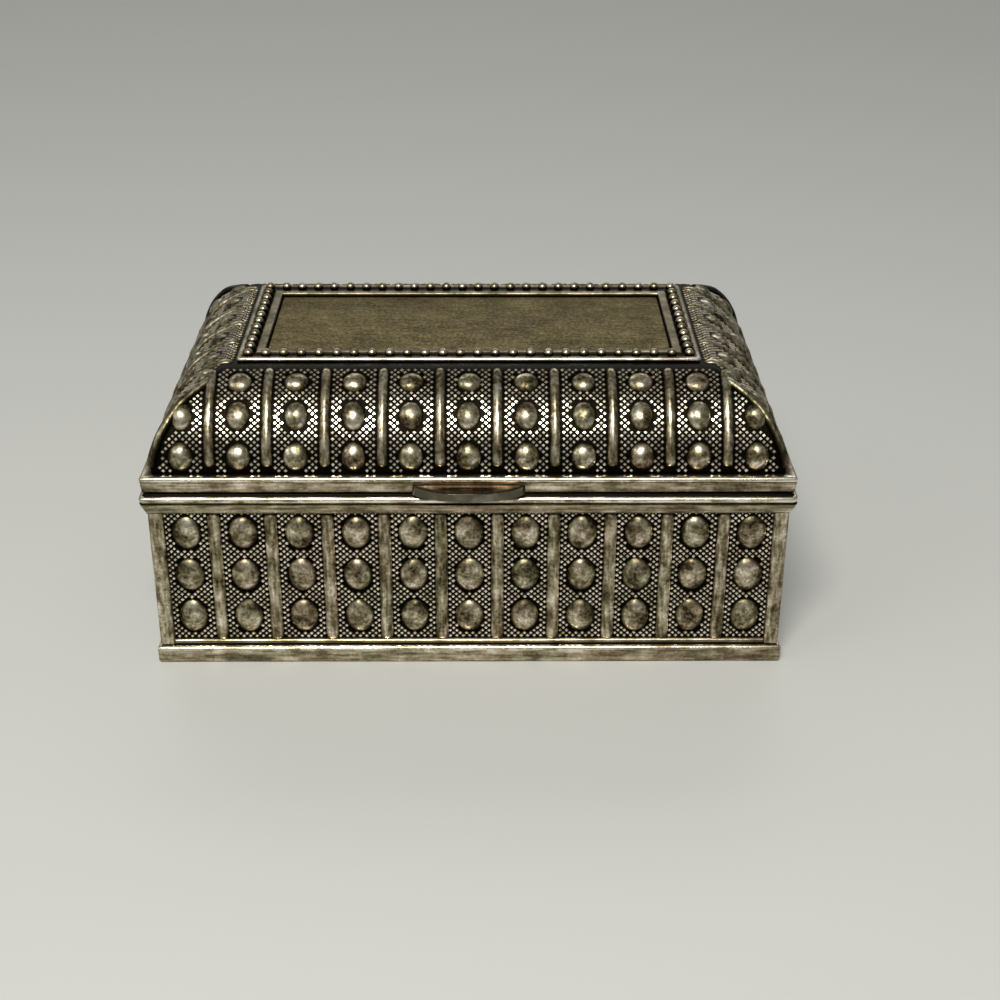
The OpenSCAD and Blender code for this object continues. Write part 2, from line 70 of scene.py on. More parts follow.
# Box section
ground_inset = 1.75
wall_t = 1.75
plinth_h = 4.0
rim_z = box_h - 3.6
cavity_inset = ground_inset + wall_t
rebate_inset = cavity_inset - 0.9
floor_z = corners("base_plate")[1].z
edge_r = 0.7

# Lid section: each slope is an arc about a line slope_c inside the rim, at height slope_z
slope_r = 16.32
slope_c = 1.63 + slope_r
slope_z = lid_top_z + 1.01 - slope_r
ledge_z = slope_z + 1.96
inner_r = slope_r - 1.6
ceiling_z = plate_low.z - 1.45

# Ornament
pilaster_w = 2.37
pilaster_inset = 0.73
rib_w = 1.75
rib_h = 0.85
wall_rib_w = 2.1
boss_h = 1.02
boss_w = 4.75
boss_l = 6.05
lid_boss_w = 3.95
boss_rows = 3
row_angles = (16.1, 38.7, 58.9)
row_lengths = (4.7, 4.8, 3.8)
end_rib_pitch = 8.4
end_ribs = 5
rib_foot_angle = 9.6
rib_top_angle = 69.5
end_run_on = 1.7
hip_rib_w = 1.55
hip_rib_h = 0.85
hip_top_angle = 65.0

# The lid's ornament gets flatter towards the crown, most of all at the back, where it
# doesn't rise over the plaque frame when the casket is seen from the front
fade_start = 45.0
fade_end = 66.0
fades = {"front": 0.3, "left": 0.35, "right": 0.35, "back": 0.72}

# Stipple: rows of small diamonds, every other row shifted by half a pitch
stud_pitch = 1.05
stud_rise = 0.49
stud_half_w = 0.45
stud_half_l = 0.42
stud_top = 0.58
stud_h = 0.25
stud_tilt = 4.0
boss_groove = 0.16
rib_groove = 0.05

# Plaque frame
lip_w = 0.93
strip_w = 1.45
frame_w = 4.15
bead_inset = 1.79
bead_pitch = 2.8
bead_r = 0.82
bead_z = frame_high.z - bead_r - 0.02

sides = (("front", rim_w, rim_d, 0), ("right", rim_d, rim_w, 90),
         ("back", rim_w, rim_d, 180), ("left", rim_d, rim_w, 270))
wall_bays = {rim_w: 11, rim_d: 6}

chance = random.Random(11)
noise.seed_set(11)


def bay_pitch(width):
    return (width - 2 * pilaster_inset - pilaster_w) / wall_bays[width]


# Mesh helpers

def turned(degrees):
    return Matrix.Rotation(math.radians(degrees), 4, "Z")


def stamp(bm, shape, matrix):
    """Adds a copy of a small mesh to bm, at its place."""
    copy = shape.copy()
    copy.transform(matrix)
    bm.from_mesh(copy)
    bpy.data.meshes.remove(copy)


def as_mesh(bm, name):
    mesh = bpy.data.meshes.new(name)
    bm.to_mesh(mesh)
    bm.free()
    return mesh


def mark_relief(bm, height):
    """Stores how far each point stands out of the ground, from 0 at the ground to 1 at height."""
    relief = bm.verts.layers.float.get("relief") or bm.verts.layers.float.new("relief")
    for v in bm.verts:
        share = min(1, max(0, v.co.z / height))
        v[relief] = share * (2 - share)


def finish_piece(bm, name, body, material, nodes=(), sharp=40):
    """Makes the bmesh an object of its own, in metres, on its body."""
    bmesh.ops.scale(bm, vec=(MM, MM, MM), verts=bm.verts)
    mesh = as_mesh(bm, name)
    mesh.polygons.foreach_set("use_smooth", [True] * len(mesh.polygons))
    mesh.set_sharp_from_angle(angle=math.radians(sharp))
    mesh.materials.append(material)
    piece = bpy.data.objects.new(name, mesh)
    bpy.context.scene.collection.objects.link(piece)
    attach(piece, body)
    if nodes:
        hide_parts(*nodes)
    return piece


def plan_loop(half_x, half_y, radius):
    """Points round a rectangle with rounded corners, with steps along its straight sides."""
    corner_steps = 4
    end_steps = 14
    long_steps = 24
    points = []
    for turn, sx, sy, steps in ((-90, 1, -1, end_steps), (0, 1, 1, long_steps),
                                (90, -1, 1, end_steps), (180, -1, -1, long_steps)):
        centre = Vector((sx * (half_x - radius), sy * (half_y - radius)))
        for i in range(corner_steps + 1):
            angle = math.radians(turn + 90 * i / corner_steps)
            points.append(centre + radius * Vector((math.cos(angle), math.sin(angle))))
        start = points[-1]
        ahead = turned(90) @ Vector((sx, sy, 0))
        end = Vector((math.copysign(half_x - radius, ahead.x), math.copysign(half_y - radius, ahead.y)))
        end += radius * Vector((math.cos(angle), math.sin(angle)))
        points += [start.lerp(end, i / steps) for i in range(1, steps)]
    return points


def sweep(bm, half_x, half_y, outline, closed=False, corner=edge_r):
    """Takes an outline of (inset, height, relief) points round a rectangle, as one skin."""
    relief = bm.verts.layers.float.get("relief") or bm.verts.layers.float.new("relief")
    rings = []
    for inset, height, share in outline:
        radius = max(corner - inset, 0.08)
        ring = [bm.verts.new((p.x, p.y, height)) for p in plan_loop(half_x - inset, half_y - inset, radius)]
        for v in ring:
            v[relief] = share
        rings.append(ring)
    pairs = list(zip(rings, rings[1:])) + ([(rings[-1], rings[0])] if closed else [])
    for below, above in pairs:
        for i in range(len(below)):
            bm.faces.new((below[i - 1], below[i], above[i], above[i - 1]))
    if not closed:
        bm.faces.new(rings[0])
        bm.faces.new(rings[-1])
    bmesh.ops.recalc_face_normals(bm, faces=bm.faces)


def arc(centre, height, radius, start, end, steps, share):
    """Part of an outline: inset = centre - radius cos, height + radius sin, from one angle to another."""
    points = []
    for i in range(steps + 1):
        angle = math.radians(start + (end - start) * i / steps)
        points.append((centre - radius * math.cos(angle), height + radius * math.sin(angle), share))
    return points


def wobble(bm, amount, size=9.0, keep_z=0.3):
    """Moves points a little, as on a hand-finished casting."""
    for v in bm.verts:
        shift = noise.noise_vector(v.co / size) * amount
        shift.z *= keep_z
        v.co += shift


def carve(piece, blocks):
    """Cuts blocks, as (low, high) corners in millimetres, out of a piece."""
    bm = bmesh.new()
    for low, high in blocks:
        low, high = Vector(low) * MM, Vector(high) * MM
        place = Matrix.Translation((low + high) / 2) @ Matrix.Diagonal((*(high - low), 1))
        bmesh.ops.create_cube(bm, size=1, matrix=place)
    cutter = bpy.data.objects.new("cutter", as_mesh(bm, "cutter"))
    bpy.context.scene.collection.objects.link(cutter)
    cut = piece.modifiers.new("notch", "BOOLEAN")
    cut.operation = "DIFFERENCE"
    cut.solver = "EXACT"
    cut.use_self = True
    cut.object = cutter
    bpy.context.view_layer.update()
    shown = piece.evaluated_get(bpy.context.evaluated_depsgraph_get())
    carved = bpy.data.meshes.new_from_object(shown)
    piece.modifiers.remove(cut)
    piece.data = carved
    bpy.data.objects.remove(cutter)


# Panels: ornament is made flat, as (along, up, out), and then laid on a wall or a slope

def lay_on_wall(bm, depth, turn):
    for v in bm.verts:
        along, up, out = v.co
        v.co = (along, ground_inset - depth / 2 - out, up)
    bmesh.ops.transform(bm, matrix=turned(turn), verts=bm.verts)


def crest(degrees, fade):
    """Share of its full height that ornament has at an angle of the slope."""
    share = min(1, max(0, (degrees - fade_start) / (fade_end - fade_start)))
    return 1 - fade * share * share * (3 - 2 * share)


def lay_on_slope(bm, width, depth, turn, fade):
    """Bends a panel round a slope's arc, where up is the length of arc on the ground, and cuts it
    at the hips. What reaches past the top of the arc runs on over the flat."""
    top = math.asin((lid_top_z - slope_z) / slope_r)
    for v in bm.verts:
        along, up, out = v.co
        angle = min(up / slope_r, top)
        run_on = up - angle * slope_r
        reach = slope_r + out * crest(math.degrees(angle), fade)
        v.co = (along, slope_c - depth / 2 - reach * math.cos(angle) + run_on,
                slope_z + reach * math.sin(angle))
    for hand in (-1, 1):
        trim(bm, (hand * width / 2, -depth / 2, 0), (hand, 1, 0))
    bmesh.ops.transform(bm, matrix=turned(turn), verts=bm.verts)


def trim(bm, place, normal):
    """Cuts off what lies beyond a plane, and closes the cut."""
    cut = bmesh.ops.bisect_plane(bm, geom=bm.verts[:] + bm.edges[:] + bm.faces[:], dist=1e-5,
                                 plane_co=place, plane_no=normal, clear_outer=True)
    edges = [g for g in cut["geom_cut"] if isinstance(g, bmesh.types.BMEdge)]
    bmesh.ops.holes_fill(bm, edges=edges, sides=0)


def close_bottom(bm, verts):
    """Fills the open side of a shape, which lies inside the metal."""
    edges = dict.fromkeys(e for v in verts for e in v.link_edges if e.is_boundary)
    bmesh.ops.holes_fill(bm, edges=list(edges), sides=0)


def arc_length(degrees):
    return slope_r * math.radians(degrees)


def wall_layout(width):
    """Rib places and boss places, as (along, up, width, length), on one box wall."""
    bays = wall_bays[width]
    pitch = bay_pitch(width)
    row_pitch = (rim_z - plinth_h - 0.2) / boss_rows
    ribs = [(i - bays / 2) * pitch for i in range(1, bays)]
    bosses = [((i + 0.5 - bays / 2) * pitch, plinth_h + 0.2 + (row + 0.5) * row_pitch, boss_w, boss_l)
              for i in range(bays) for row in range(boss_rows)]
    return ribs, bosses


def slope_span(width, degrees):
    """Half the width of a slope at an angle, between its hips."""
    return width / 2 - slope_c + slope_r * math.cos(math.radians(degrees))


def slope_layout(width):
    """Rib places and boss places on one slope of the lid."""
    bosses = []
    if width == rim_w:
        bays = wall_bays[width]
        pitch = bay_pitch(width)
        ribs = [(i - bays / 2) * pitch for i in range(1, bays)]
        middles = [(i + 0.5 - bays / 2) * pitch for i in range(bays)]
        for degrees, length in zip(row_angles, row_lengths):
            places = [x for x in middles if abs(x) < slope_span(width, degrees) - 0.1 * boss_w]
            bosses += [(x, arc_length(degrees), lid_boss_w, length) for x in places]
    else:
        ribs = [(i - (end_ribs - 1) / 2) * end_rib_pitch for i in range(end_ribs)]
        for degrees, length in zip(row_angles, row_lengths):
            corner_place = (slope_span(width, degrees) + ribs[-1]) / 2
            places = [(a + b) / 2 for a, b in zip(ribs, ribs[1:])] + [-corner_place, corner_place]
            bosses += [(x, arc_length(degrees), lid_boss_w * 0.97, length) for x in places]
    return ribs, bosses


def pebble():
    """A boss of unit half-width and unit height: the top of a ball."""
    bm = bmesh.new()
    bmesh.ops.create_uvsphere(bm, u_segments=20, v_segments=16, radius=1)
    sunk = 0.42
    trim(bm, (0, 0, sunk), (0, 0, -1))
    spread = 1 / math.sqrt(1 - sunk * sunk)
    for v in bm.verts:
        v.co = (v.co.x * spread, v.co.y * spread, (v.co.z - sunk) / (1 - sunk) - 0.04)
    return as_mesh(bm, "pebble")


def add_bosses(bm, bosses):
    shape = pebble()
    for along, up, width, length in bosses:
        nudge = [chance.uniform(-1, 1) for _ in range(5)]
        size = Matrix.Diagonal((width / 2 * (1 + 0.03 * nudge[0]), length / 2 * (1 + 0.03 * nudge[1]),
                                boss_h * (1 + 0.05 * nudge[2]), 1))
        place = Matrix.Translation((along + 0.08 * nudge[3], up, 0))
        stamp(bm, shape, place @ turned(4 * nudge[4]) @ size)
    bpy.data.meshes.remove(shape)


def dent(bm, amount, size):
    """Gives cast bosses their uneven skin."""
    for v in bm.verts:
        if v.co.z > 0:
            v.co.z += amount * noise.noise(v.co / size)


def add_bar(bm, x, low, high, width, height, square=2.0, taper=0.0):
    """A rib with rounded ends: square is 2 for a half-round section, and more for flatter sides."""
    length = high - low
    made = bmesh.ops.create_grid(bm, x_segments=8, y_segments=30, size=1)
    for v in made["verts"]:
        across = math.sin(v.co.x * math.pi / 2)
        along = (v.co.y + 1) / 2 * length
        reach = min(1, min(along, length - along) / (0.8 * width))
        cap = math.sqrt(max(0, 1 - (1 - reach) ** 2))
        half = width / 2 * (1 - taper * along / length) * (0.25 + 0.75 * cap)
        rise = max(0, 1 - abs(across) ** square) ** (1 / square)
        v.co = (x + across * half, low + along, height * cap * rise - 0.06)
    close_bottom(bm, made["verts"])


def stud_shape():
    """A low pyramid with a flat top and its corners up, down, left and right."""
    bm = bmesh.new()
    bmesh.ops.create_cone(bm, segments=4, radius1=1, radius2=stud_top, depth=stud_h, cap_ends=True)
    bmesh.ops.scale(bm, vec=(stud_half_w, stud_half_l, 1), verts=bm.verts)
    bmesh.ops.translate(bm, vec=(0, 0, stud_h / 2 - 0.03), verts=bm.verts)
    return as_mesh(bm, "stud")


def add_studs(bm, half_run, low, high, ribs, rib_half, bosses, hip_room=None):
    """Fills what the ribs and bosses leave free."""
    shape = stud_shape()
    row_count = int((high - low) / stud_rise)
    column_count = int(half_run / stud_pitch) + 1
    for row in range(row_count + 1):
        up = low + row * stud_rise
        near = [b for b in bosses if abs(b[1] - up) < b[3] / 2 + 1]
        for column in range(-column_count, column_count + 1):
            along = (column + 0.5 * (row % 2)) * stud_pitch
            if abs(along) > half_run or (hip_room and abs(along) > hip_room(up)):
                continue
            if any(abs(along - x) < rib_half + rib_groove for x in ribs):
                continue
            if any(((along - x) / (w / 2 + boss_groove)) ** 2 + ((up - y) / (l / 2 + boss_groove)) ** 2 < 1
                   for x, y, w, l in near):
                continue
            size = 1 + 0.08 * chance.uniform(-1, 1)
            place = Matrix.Translation((along + 0.02 * chance.uniform(-1, 1), up, 0))
            lean = [math.radians(stud_tilt * chance.uniform(-1, 1)) for _ in range(2)]
            place = place @ Matrix.Rotation(lean[0], 4, "X") @ Matrix.Rotation(lean[1], 4, "Y")
            stamp(bm, shape, place @ Matrix.Diagonal((size, size, size, 1)))
    bpy.data.meshes.remove(shape)


def gather(bm, panel):
    """Adds a laid panel to a piece."""
    mesh = as_mesh(panel, "panel")
    bm.from_mesh(mesh)
    bpy.data.meshes.remove(mesh)


def new_panel():
    bm = bmesh.new()
    bm.verts.layers.float.new("relief")
    return bm


# Materials

def add(tree, kind, settings=None, **sockets):
    """A node with its settings and socket values. A socket value may be another node's output."""
    node = tree.nodes.new("ShaderNode" + kind)
    for name, value in (settings or {}).items():
        setattr(node, name, value)
    for name, value in sockets.items():
        socket = node.inputs[name.replace("_", " ")]
        if isinstance(value, bpy.types.NodeSocket):
            tree.links.new(value, socket)
        else:
            socket.default_value = value
    return node


def math_node(tree, operation, a, b=0.0, clamp=False):
    node = tree.nodes.new("ShaderNodeMath")
    node.operation = operation
    node.use_clamp = clamp
    for socket, value in zip(node.inputs, (a, b)):
        if isinstance(value, bpy.types.NodeSocket):
            tree.links.new(value, socket)
        else:
            socket.default_value = value
    return node.outputs[0]


def ramp(tree, source, stops):
    node = tree.nodes.new("ShaderNodeValToRGB")
    tree.links.new(source, node.inputs["Fac"])
    elements = node.color_ramp.elements
    while len(elements) < len(stops):
        elements.new(0.5)
    for element, (place, colour) in zip(elements, stops):
        element.position = place
        element.color = (*colour, 1)
    return node.outputs["Color"]


def new_group(name, inputs, outputs):
    group = bpy.data.node_groups.new(name, "ShaderNodeTree")
    for socket, kind, value in inputs:
        made = group.interface.new_socket(name=socket, in_out="INPUT", socket_type=kind)
        made.default_value = value
    for socket, kind in outputs:
        group.interface.new_socket(name=socket, in_out="OUTPUT", socket_type=kind)
    return group, group.nodes.new("NodeGroupInput"), group.nodes.new("NodeGroupOutput")


def map_range(tree, value, low, high, to_low, to_high):
    node = add(tree, "MapRange", Value=value)
    for socket, number in (("From Min", low), ("From Max", high), ("To Min", to_low), ("To Max", to_high)):
        node.inputs[socket].default_value = number
    return node.outputs["Result"]


def patina_group():
    """Silver that is black in its recesses and worn bright on its highs, mottled and streaked.
    Wear is how bright the highs are, and Grain is how much the streaks are drawn out each way."""
    group, given, result = new_group(
        "patina",
        [("Relief", "NodeSocketFloat", 1.0), ("Wear", "NodeSocketFloat", 0.5),
         ("Mottle", "NodeSocketFloat", 0.3), ("Streaks", "NodeSocketFloat", 0.0),
         ("Grain", "NodeSocketVector", (1.0, 1.0, 0.15))],
        [("Color", "NodeSocketColor"), ("Roughness", "NodeSocketFloat"), ("Height", "NodeSocketFloat")])
    place = add(group, "TexCoord").outputs["Object"]
    fine = add(group, "TexNoise", Vector=place, Scale=1900.0, Detail=4.0, Roughness=0.6).outputs["Fac"]
    broad = add(group, "TexNoise", Vector=place, Scale=330.0, Detail=3.0, Roughness=0.55).outputs["Fac"]
    drawn = add(group, "Mapping", Vector=place, Scale=given.outputs["Grain"]).outputs["Vector"]
    streak = add(group, "TexNoise", Vector=drawn, Scale=1700.0, Detail=4.0).outputs["Fac"]
    spots = math_node(group, "ADD", map_range(group, fine, 0.34, 0.66, -0.4, 0.4),
                      map_range(group, broad, 0.36, 0.64, -0.6, 0.6))
    mottle = math_node(group, "MULTIPLY", spots, given.outputs["Mottle"])
    lines = math_node(group, "MULTIPLY", map_range(group, streak, 0.35, 0.65, -1.0, 1.0),
                      given.outputs["Streaks"])
    marks = math_node(group, "ADD", math_node(group, "ADD", mottle, lines), given.outputs["Wear"])
    shade = math_node(group, "MULTIPLY", marks, given.outputs["Relief"], clamp=True)
    olive = ramp(group, shade, [(0.0, (0.004, 0.0035, 0.002)), (0.25, (0.036, 0.030, 0.015)),
                                (0.5, (0.175, 0.152, 0.085)), (0.75, (0.44, 0.395, 0.27)),
                                (1.0, (0.84, 0.78, 0.66))])
    brown = ramp(group, shade, [(0.0, (0.004, 0.003, 0.002)), (0.25, (0.04, 0.029, 0.015)),
                                (0.5, (0.195, 0.15, 0.09)), (0.75, (0.47, 0.39, 0.28)),
                                (1.0, (0.86, 0.77, 0.66))])
    tint = add(group, "TexNoise", Vector=place, Scale=120.0, Detail=2.0).outputs["Fac"]
    colour = add(group, "MixRGB", Fac=map_range(group, tint, 0.4, 0.6, 0.0, 0.8), Color1=olive, Color2=brown)
    height = math_node(group, "ADD", math_node(group, "MULTIPLY", fine, 0.3), broad)
    for name, output in (("Color", colour.outputs["Color"]), ("Height", height),
                         ("Roughness", map_range(group, shade, 0, 1, 0.46, 0.23))):
        group.links.new(output, result.inputs[name])
    return group


def new_material(name):
    material = bpy.data.materials.new(name)
    material.use_nodes = True
    tree = material.node_tree
    return material, tree, tree.nodes["Principled BSDF"]


def bump(tree, shader, height, distance, strength=1.0):
    made = add(tree, "Bump", Height=height, Distance=distance, Strength=strength)
    tree.links.new(made.outputs["Normal"], shader.inputs["Normal"])


def silver(name, patina, wear, mottle, streaks=0.0, grain=(1.0, 1.0, 0.15), uneven=0.05):
    material, tree, shader = new_material(name)
    relief = add(tree, "Attribute", {"attribute_name": "relief"}).outputs["Fac"]
    finish = tree.nodes.new("ShaderNodeGroup")
    finish.node_tree = patina
    tree.links.new(relief, finish.inputs["Relief"])
    for socket, value in (("Wear", wear), ("Mottle", mottle), ("Streaks", streaks), ("Grain", grain)):
        finish.inputs[socket].default_value = value
    tree.links.new(finish.outputs["Color"], shader.inputs["Base Color"])
    tree.links.new(finish.outputs["Roughness"], shader.inputs["Roughness"])
    shader.inputs["Metallic"].default_value = 1.0
    bump(tree, shader, finish.outputs["Height"], uneven * MM)
    return material


def plaque_metal():
    """The plaque: dull olive brown, with fine grain and long faint scratches."""
    material, tree, shader = new_material("plaque_metal")
    place = add(tree, "TexCoord").outputs["Object"]
    grain = add(tree, "TexNoise", Vector=place, Scale=1900.0, Detail=4.0, Roughness=0.7).outputs["Fac"]
    cloud = add(tree, "TexNoise", Vector=place, Scale=150.0, Detail=5.0, Roughness=0.65).outputs["Fac"]
    drawn = add(tree, "Mapping", Vector=place, Scale=(0.16, 1.0, 1.0),
                Rotation=(0, 0, 0.3)).outputs["Vector"]
    scratch = add(tree, "TexNoise", Vector=drawn, Scale=1400.0, Detail=2.0).outputs["Fac"]
    tone = math_node(tree, "ADD", math_node(tree, "MULTIPLY", grain, 0.55),
                     math_node(tree, "ADD", math_node(tree, "MULTIPLY", cloud, 0.3),
                               math_node(tree, "MULTIPLY", scratch, 0.15)))
    colour = ramp(tree, tone, [(0.38, (0.03, 0.022, 0.006)), (0.5, (0.112, 0.084, 0.029)),
                               (0.62, (0.245, 0.195, 0.08))])
    tree.links.new(colour, shader.inputs["Base Color"])
    tree.links.new(map_range(tree, tone, 0.35, 0.65, 0.62, 0.46), shader.inputs["Roughness"])
    shader.inputs["Metallic"].default_value = 0.85
    bump(tree, shader, tone, 0.05 * MM)
    return material


def tab_metal():
    """Polished dark metal: olive on the lip and the front face, and dark brown in the dish, where the brown
    is a painted reflection.
    """
    material, tree, shader = new_material("tab_metal")
    relief = add(tree, "Attribute", {"attribute_name": "relief"}).outputs["Fac"]
    place = add(tree, "TexCoord").outputs["Object"]
    cloud = add(tree, "TexNoise", Vector=place, Scale=420.0, Detail=4.0).outputs["Fac"]
    tone = math_node(tree, "ADD", relief, map_range(tree, cloud, 0.35, 0.65, -0.08, 0.08), clamp=True)
    # The dark red-brown stops at low relief are the dish's painted reflection.
    colour = ramp(tree, tone, [(0.0, (0.015, 0.009, 0.005)), (0.2, (0.055, 0.036, 0.022)),
                               (0.5, (0.105, 0.095, 0.064)), (1.0, (0.62, 0.59, 0.50))])
    tree.links.new(colour, shader.inputs["Base Color"])
    shader.inputs["Roughness"].default_value = 0.15
    shader.inputs["Metallic"].default_value = 1.0
    bump(tree, shader, cloud, 0.01 * MM)
    return material


def worn_sheet(name, dark, light, roughness, scale, uneven):
    """Plain sheet metal with a slight tarnish."""
    material, tree, shader = new_material(name)
    place = add(tree, "TexCoord").outputs["Object"]
    tarnish = add(tree, "TexNoise", Vector=place, Scale=scale, Detail=5.0, Roughness=0.6).outputs["Fac"]
    tree.links.new(ramp(tree, tarnish, [(0.35, dark), (0.65, light)]), shader.inputs["Base Color"])
    rough = map_range(tree, tarnish, 0, 1, roughness + 0.1, roughness - 0.08)
    tree.links.new(rough, shader.inputs["Roughness"])
    shader.inputs["Metallic"].default_value = 1.0
    bump(tree, shader, tarnish, uneven * MM)
    return material


def pile_cloth(name, dark, light, sheen, depth):
    """Velvet or felt: a fine pile, with patches where it is brushed the other way."""
    material, tree, shader = new_material(name)
    place = add(tree, "TexCoord").outputs["Object"]
    pile = add(tree, "TexNoise", Vector=place, Scale=5200.0, Detail=2.0).outputs["Fac"]
    brushed = add(tree, "TexNoise", Vector=place, Scale=120.0, Detail=3.0, Distortion=0.6).outputs["Fac"]
    tone = math_node(tree, "ADD", math_node(tree, "MULTIPLY", pile, 0.45),
                     math_node(tree, "MULTIPLY", brushed, 0.55))
    tree.links.new(ramp(tree, tone, [(0.36, dark), (0.62, light)]), shader.inputs["Base Color"])
    shader.inputs["Roughness"].default_value = 0.92
    shader.inputs["Sheen Weight"].default_value = sheen
    shader.inputs["Sheen Roughness"].default_value = 0.4
    shader.inputs["Sheen Tint"].default_value = (*light, 1)
    bump(tree, shader, tone, depth * MM)
    return material


patina = patina_group()
along_rim = (0.12, 0.12, 1.0)
ground_silver = silver("silver_walls", patina, 0.67, 0.2, 0.18, along_rim)
rib_silver = silver("silver_ribs", patina, 0.6, 0.3, 0.18)
boss_silver = silver("silver_bosses", patina, 0.58, 0.46)
stud_silver = silver("silver_studs", patina, 0.9, 0.22, uneven=0.01)
frame_silver = silver("silver_frame", patina, 0.66, 0.22, 0.12, along_rim)
plaque_finish = plaque_metal()
tab_finish = tab_metal()
brass_finish = worn_sheet("brass_sheet", (0.24, 0.16, 0.06), (0.52, 0.38, 0.16), 0.34, 300.0, 0.03)
velvet_finish = pile_cloth("velvet", (0.045, 0.002, 0.004), (0.17, 0.010, 0.017), 0.25, 0.12)
felt_finish = pile_cloth("felt", (0.012, 0.012, 0.014), (0.04, 0.04, 0.044), 0.25, 0.15)


# Castings

def box_walls():
    bead_radius = 0.54
    bead_inset_rim = bead_radius - 0.31
    bead_height = box_h - 0.85
    outline = [(0.45, 0, 0.3), (0.26, 0.12, 0.7), (0.2, 0.35, 0.9), (0.2, 1.3, 0.9), (0.2, 2.2, 1)]
    outline += arc(0.74, 2.34, 0.54, 0, 90, 7, 1.25)
    outline += [(0.95, 2.9, 0.05), (1.02, 3.1, 0.02)]
    outline += arc(1.62, 3.25, 0.5, 0, 90, 6, 0.85)
    # The rim's underside, relief 0 at (0.84, rim_z) rising to 0.5, is painted shade under the rim.
    outline += [(ground_inset, 3.8, 0), (ground_inset, 4.2, 0), (ground_inset, rim_z - 0.2, 0),
                (ground_inset, rim_z, 0), (0.84, rim_z, 0), (0.7, rim_z + 0.12, 0.5),
                (0.55, rim_z + 0.4, 0.95), (0.1, rim_z + 1.25, 0.9), (-0.2, rim_z + 1.85, 0.95),
                (-0.26, rim_z + 2.0, 0.6), (-0.05, rim_z + 2.12, 0)]
    outline += arc(bead_inset_rim, bead_height, bead_radius, -45, 90, 8, 1.3)
    outline += [(0.34, bead_height + 0.5, 0.2), (0.4, box_h - 0.2, 0), (0.55, box_h, 0),
                (1.4, box_h, 0.1), (cavity_inset - 0.2, box_h, 0.8), (cavity_inset, box_h - 0.2, 0.8),
                (cavity_inset, floor_z, 0.4), (rebate_inset, floor_z, 0.1), (rebate_inset, 0, 0.2)]
    bm = bmesh.new()
    sweep(bm, rim_w / 2, rim_d / 2, outline, closed=True)
    wobble(bm, 0.05)
    for v in bm.verts:
        v.co.z = max(0, v.co.z)
    piece = finish_piece(bm, "box_walls", "box", ground_silver, ["box_casting"])
    leaf_low, leaf_high = corners("hinge_leaf_box")
    half = leaf_high.x + 0.1
    leaf_t = 0.52
    inner_y = rim_d / 2 - cavity_inset
    carve(piece, [((-half, inner_y - 1, box_h - leaf_t - 0.05), (half, rim_d / 2 + 3, box_h + 3)),
                  ((-half, inner_y - 1, leaf_low.z - 0.02), (half, inner_y + leaf_t, box_h + 2))])


def box_ribs():
    bm = new_panel()
    for side, width, depth, turn in sides:
        panel = new_panel()
        ribs, _ = wall_layout(width)
        for x in ribs:
            add_bar(panel, x, plinth_h - 0.85, rim_z + 0.12, wall_rib_w, rib_h, square=2.5)
        mark_relief(panel, rib_h * 0.85)
        wobble(panel, 0.07, 5.0, 1.0)
        lay_on_wall(panel, depth, turn)
        gather(bm, panel)
    add_pilasters(bm)
    finish_piece(bm, "box_ribs", "box", rib_silver, ["box_casting"])


def add_pilasters(bm):
    """The four square corner posts, with softened edges."""
    relief = bm.verts.layers.float.get("relief")
    height = rim_z - plinth_h + 1.1
    for x in (-1, 1):
        for y in (-1, 1):
            centre = Vector((x * (rim_w / 2 - pilaster_inset - pilaster_w / 2),
                             y * (rim_d / 2 - pilaster_inset - pilaster_w / 2),
                             (rim_z + plinth_h) / 2 - 0.3))
            place = Matrix.Translation(centre) @ Matrix.Diagonal((pilaster_w, pilaster_w, height, 1))
            made = bmesh.ops.create_cube(bm, size=1, matrix=place)
            upright = list(dict.fromkeys(e for v in made["verts"] for e in v.link_edges
                                         if abs(e.verts[0].co.z - e.verts[1].co.z) > 1))
            rounded = bmesh.ops.bevel(bm, geom=upright, offset=0.4, offset_type="OFFSET", segments=4,
                                      profile=0.5, affect="EDGES", material=-1)
            post = {v for f in rounded["faces"] for v in f.verts}
            post |= {v for v in made["verts"] if v.is_valid}
            for v in post:
                out = max((abs(v.co.x) - (rim_w / 2 - ground_inset)) / 1.0,
                          (abs(v.co.y) - (rim_d / 2 - ground_inset)) / 1.0)
                v[relief] = min(1, max(0.02, out))


def box_bosses():
    bm = new_panel()
    for side, width, depth, turn in sides:
        panel = new_panel()
        add_bosses(panel, wall_layout(width)[1])
        mark_relief(panel, boss_h * 0.55)
        dent(panel, 0.09, 1.3)
        lay_on_wall(panel, depth, turn)
        gather(bm, panel)
    finish_piece(bm, "box_bosses", "box", boss_silver, ["box_casting"], sharp=80)


def box_stipple():
    bm = new_panel()
    for side, width, depth, turn in sides:
        panel = new_panel()
        ribs, bosses = wall_layout(width)
        half_run = width / 2 - pilaster_inset - pilaster_w - rib_groove
        add_studs(panel, half_run, plinth_h + 0.2, rim_z - 0.2, ribs, wall_rib_w / 2, bosses)
        mark_relief(panel, stud_h * 0.7)
        lay_on_wall(panel, depth, turn)
        gather(bm, panel)
    finish_piece(bm, "box_stipple", "box", stud_silver, ["box_casting"], sharp=30)


